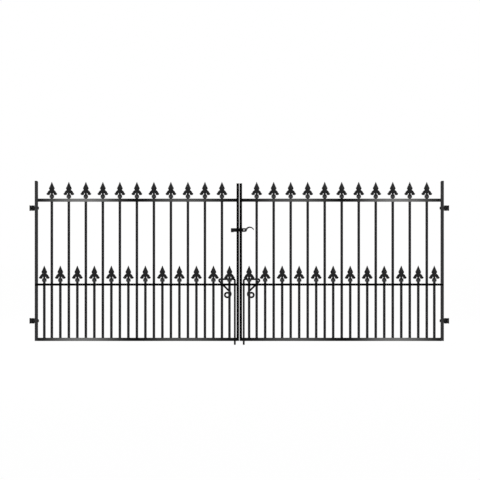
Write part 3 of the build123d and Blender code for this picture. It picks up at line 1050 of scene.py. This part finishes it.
def latch_arm():
    low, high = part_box("latch_arm")
    pivot_low, pivot_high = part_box("latch_pivot")
    x, z = (pivot_low.x + pivot_high.x) / 2, (pivot_low.z + pivot_high.z) / 2
    left, right, tall = low.x, x + 31 * MM, 21 * MM
    y, thick = (low.y + high.y) / 2, 5 * MM
    corner = 2.5 * MM
    half = tall / 2
    belly = half + 1.2 * MM
    outline = [
        (left, z - half + corner), (left + corner, z - half), (x - 6 * MM, z - half),
        (x, z - belly), (right - 6 * MM, z - belly),
        (right - 1 * MM, z - half + 2 * MM), (right, z - half + 6 * MM), (right, z + half - 4 * MM),
        (right - 3 * MM, z + half), (left + corner, z + half), (left, z + half - corner),
    ]
    padlock_x = x + HOLE_FROM_PIVOT
    holes = [circle(STUD + 0.05 * MM, (x, z), 32), circle(PADLOCK_HOLE, (padlock_x, z), 32)]
    flat = cut_out(outline, holes, thick, 0.7 * MM, upright(y))
    path = bent((right - 2 * MM, z - 4.2 * MM), 80, [("turn", TAIL_BEND, TAIL_TURN)])
    last = len(path) - 1
    radii = [TAIL_ROOT - TAIL_THINS * (k / last) ** 0.8 for k in range(last + 1)]
    return joined(flat, drawn(path, radii, y, 16, depth=TAIL_FLAT))


# The latch arm's paler paint is painted light.
hand_over(latch_arm(), "latch_arm_dressed", "latch", "lit_arm", "latch_arm")

# %% [markdown]
# ## The studio
# The catalogue picture stands on pure white with no shadow to speak of. The floor is
# plain and pale, and for the camera's own rays and for reflections it is mostly white
# light, so a trace of the gate's shadow stays. Black satin paint shows little but what
# it reflects, so the soft boxes are large and their light is plain.

# %% Floor
def plain_floor(z, size):
    mesh = bpy.data.meshes.new("floor")
    x, y = MIDDLE, 0
    spots = [(x + sx * size, y + sy * size, z) for sx, sy in ((-1, -1), (1, -1), (1, 1), (-1, 1))]
    mesh.from_pydata(spots, [], [(0, 1, 2, 3)])
    floor = bpy.data.objects.new("floor", mesh)
    bpy.context.collection.objects.link(floor)
    return floor


floor_finish = Finish("floor_white")
place = floor_finish.add("ShaderNodeTexCoord", output="Object")
mottle = floor_finish.grain(place, 3.0, 3.0)
pale = floor_finish.blend(mottle, (0.86, 0.86, 0.86, 1), (0.90, 0.90, 0.90, 1))
floor_finish.dress(Base_Color=pale, Roughness=0.9)
WHITE_SHARE = 0.97           # the rest is the pale floor itself, with the shadow
directly = floor_finish.add("ShaderNodeLightPath", output="Is Camera Ray")
reflected = floor_finish.add("ShaderNodeLightPath", output="Is Glossy Ray")
share = (directly + reflected) * WHITE_SHARE
white = floor_finish.add("ShaderNodeEmission", {}, {"Color": (1, 1, 1, 1), "Strength": 1.01})
painted = Flow(floor_finish, floor_finish.shader.outputs[0])
surface = floor_finish.add("ShaderNodeMixShader", {}, {0: share, 1: painted, 2: white})
leave = floor_finish.tree.nodes["Material Output"]
floor_finish.tree.links.new(surface.socket, leave.inputs["Surface"])
floor = plain_floor(cad_box[0].z - 0.5 * MM, 40.0)
floor.data.materials.append(floor_finish.material)

# %% World and soft boxes
world = bpy.data.worlds.new("studio")
world.use_nodes = True
bpy.context.scene.world = world
nodes, links = world.node_tree.nodes, world.node_tree.links
path = nodes.new("ShaderNodeLightPath")
backdrop = nodes.new("ShaderNodeBackground")
backdrop.inputs["Color"].default_value = (1, 1, 1, 1)
room = nodes.new("ShaderNodeBackground")
room.inputs["Color"].default_value = (1, 1, 1, 1)
room.inputs["Strength"].default_value = 0.5      # what lights the gate from all round
shown = nodes.new("ShaderNodeMath")
shown.operation = "MAXIMUM"
links.new(path.outputs["Is Camera Ray"], shown.inputs[0])
links.new(path.outputs["Is Glossy Ray"], shown.inputs[1])
choose = nodes.new("ShaderNodeMixShader")
links.new(shown.outputs[0], choose.inputs[0])
links.new(room.outputs[0], choose.inputs[1])
links.new(backdrop.outputs[0], choose.inputs[2])
links.new(choose.outputs[0], nodes["World Output"].inputs["Surface"])


def soft_box(name, spot, aim, size, power):
    lamp = bpy.data.lights.new(name, "AREA")
    lamp.shape, lamp.size, lamp.size_y, lamp.energy = "RECTANGLE", size[0], size[1], power
    box = bpy.data.objects.new(name, lamp)
    box.location = spot
    box.rotation_euler = (Vector(aim) - Vector(spot)).to_track_quat("-Z", "Y").to_euler()
    bpy.context.collection.objects.link(box)


soft_box("key_box", (-1.6, -3.2, 3.4), (MIDDLE, 0, 0.4), (2.2, 1.6), 90)
soft_box("fill_box", (4.6, -2.8, 1.6), (MIDDLE, 0, 0.4), (1.8, 1.8), 35)
soft_box("back_box", (MIDDLE, 3.6, 3.0), (MIDDLE, 0, 0.4), (3.0, 1.2), 60)
bpy.context.scene.view_settings.view_transform = "Standard"
print("studio lit")

# %% Print the CAD box
print("CAD box  ", [tuple(round(v / MM, 1) for v in c) for c in cad_box])
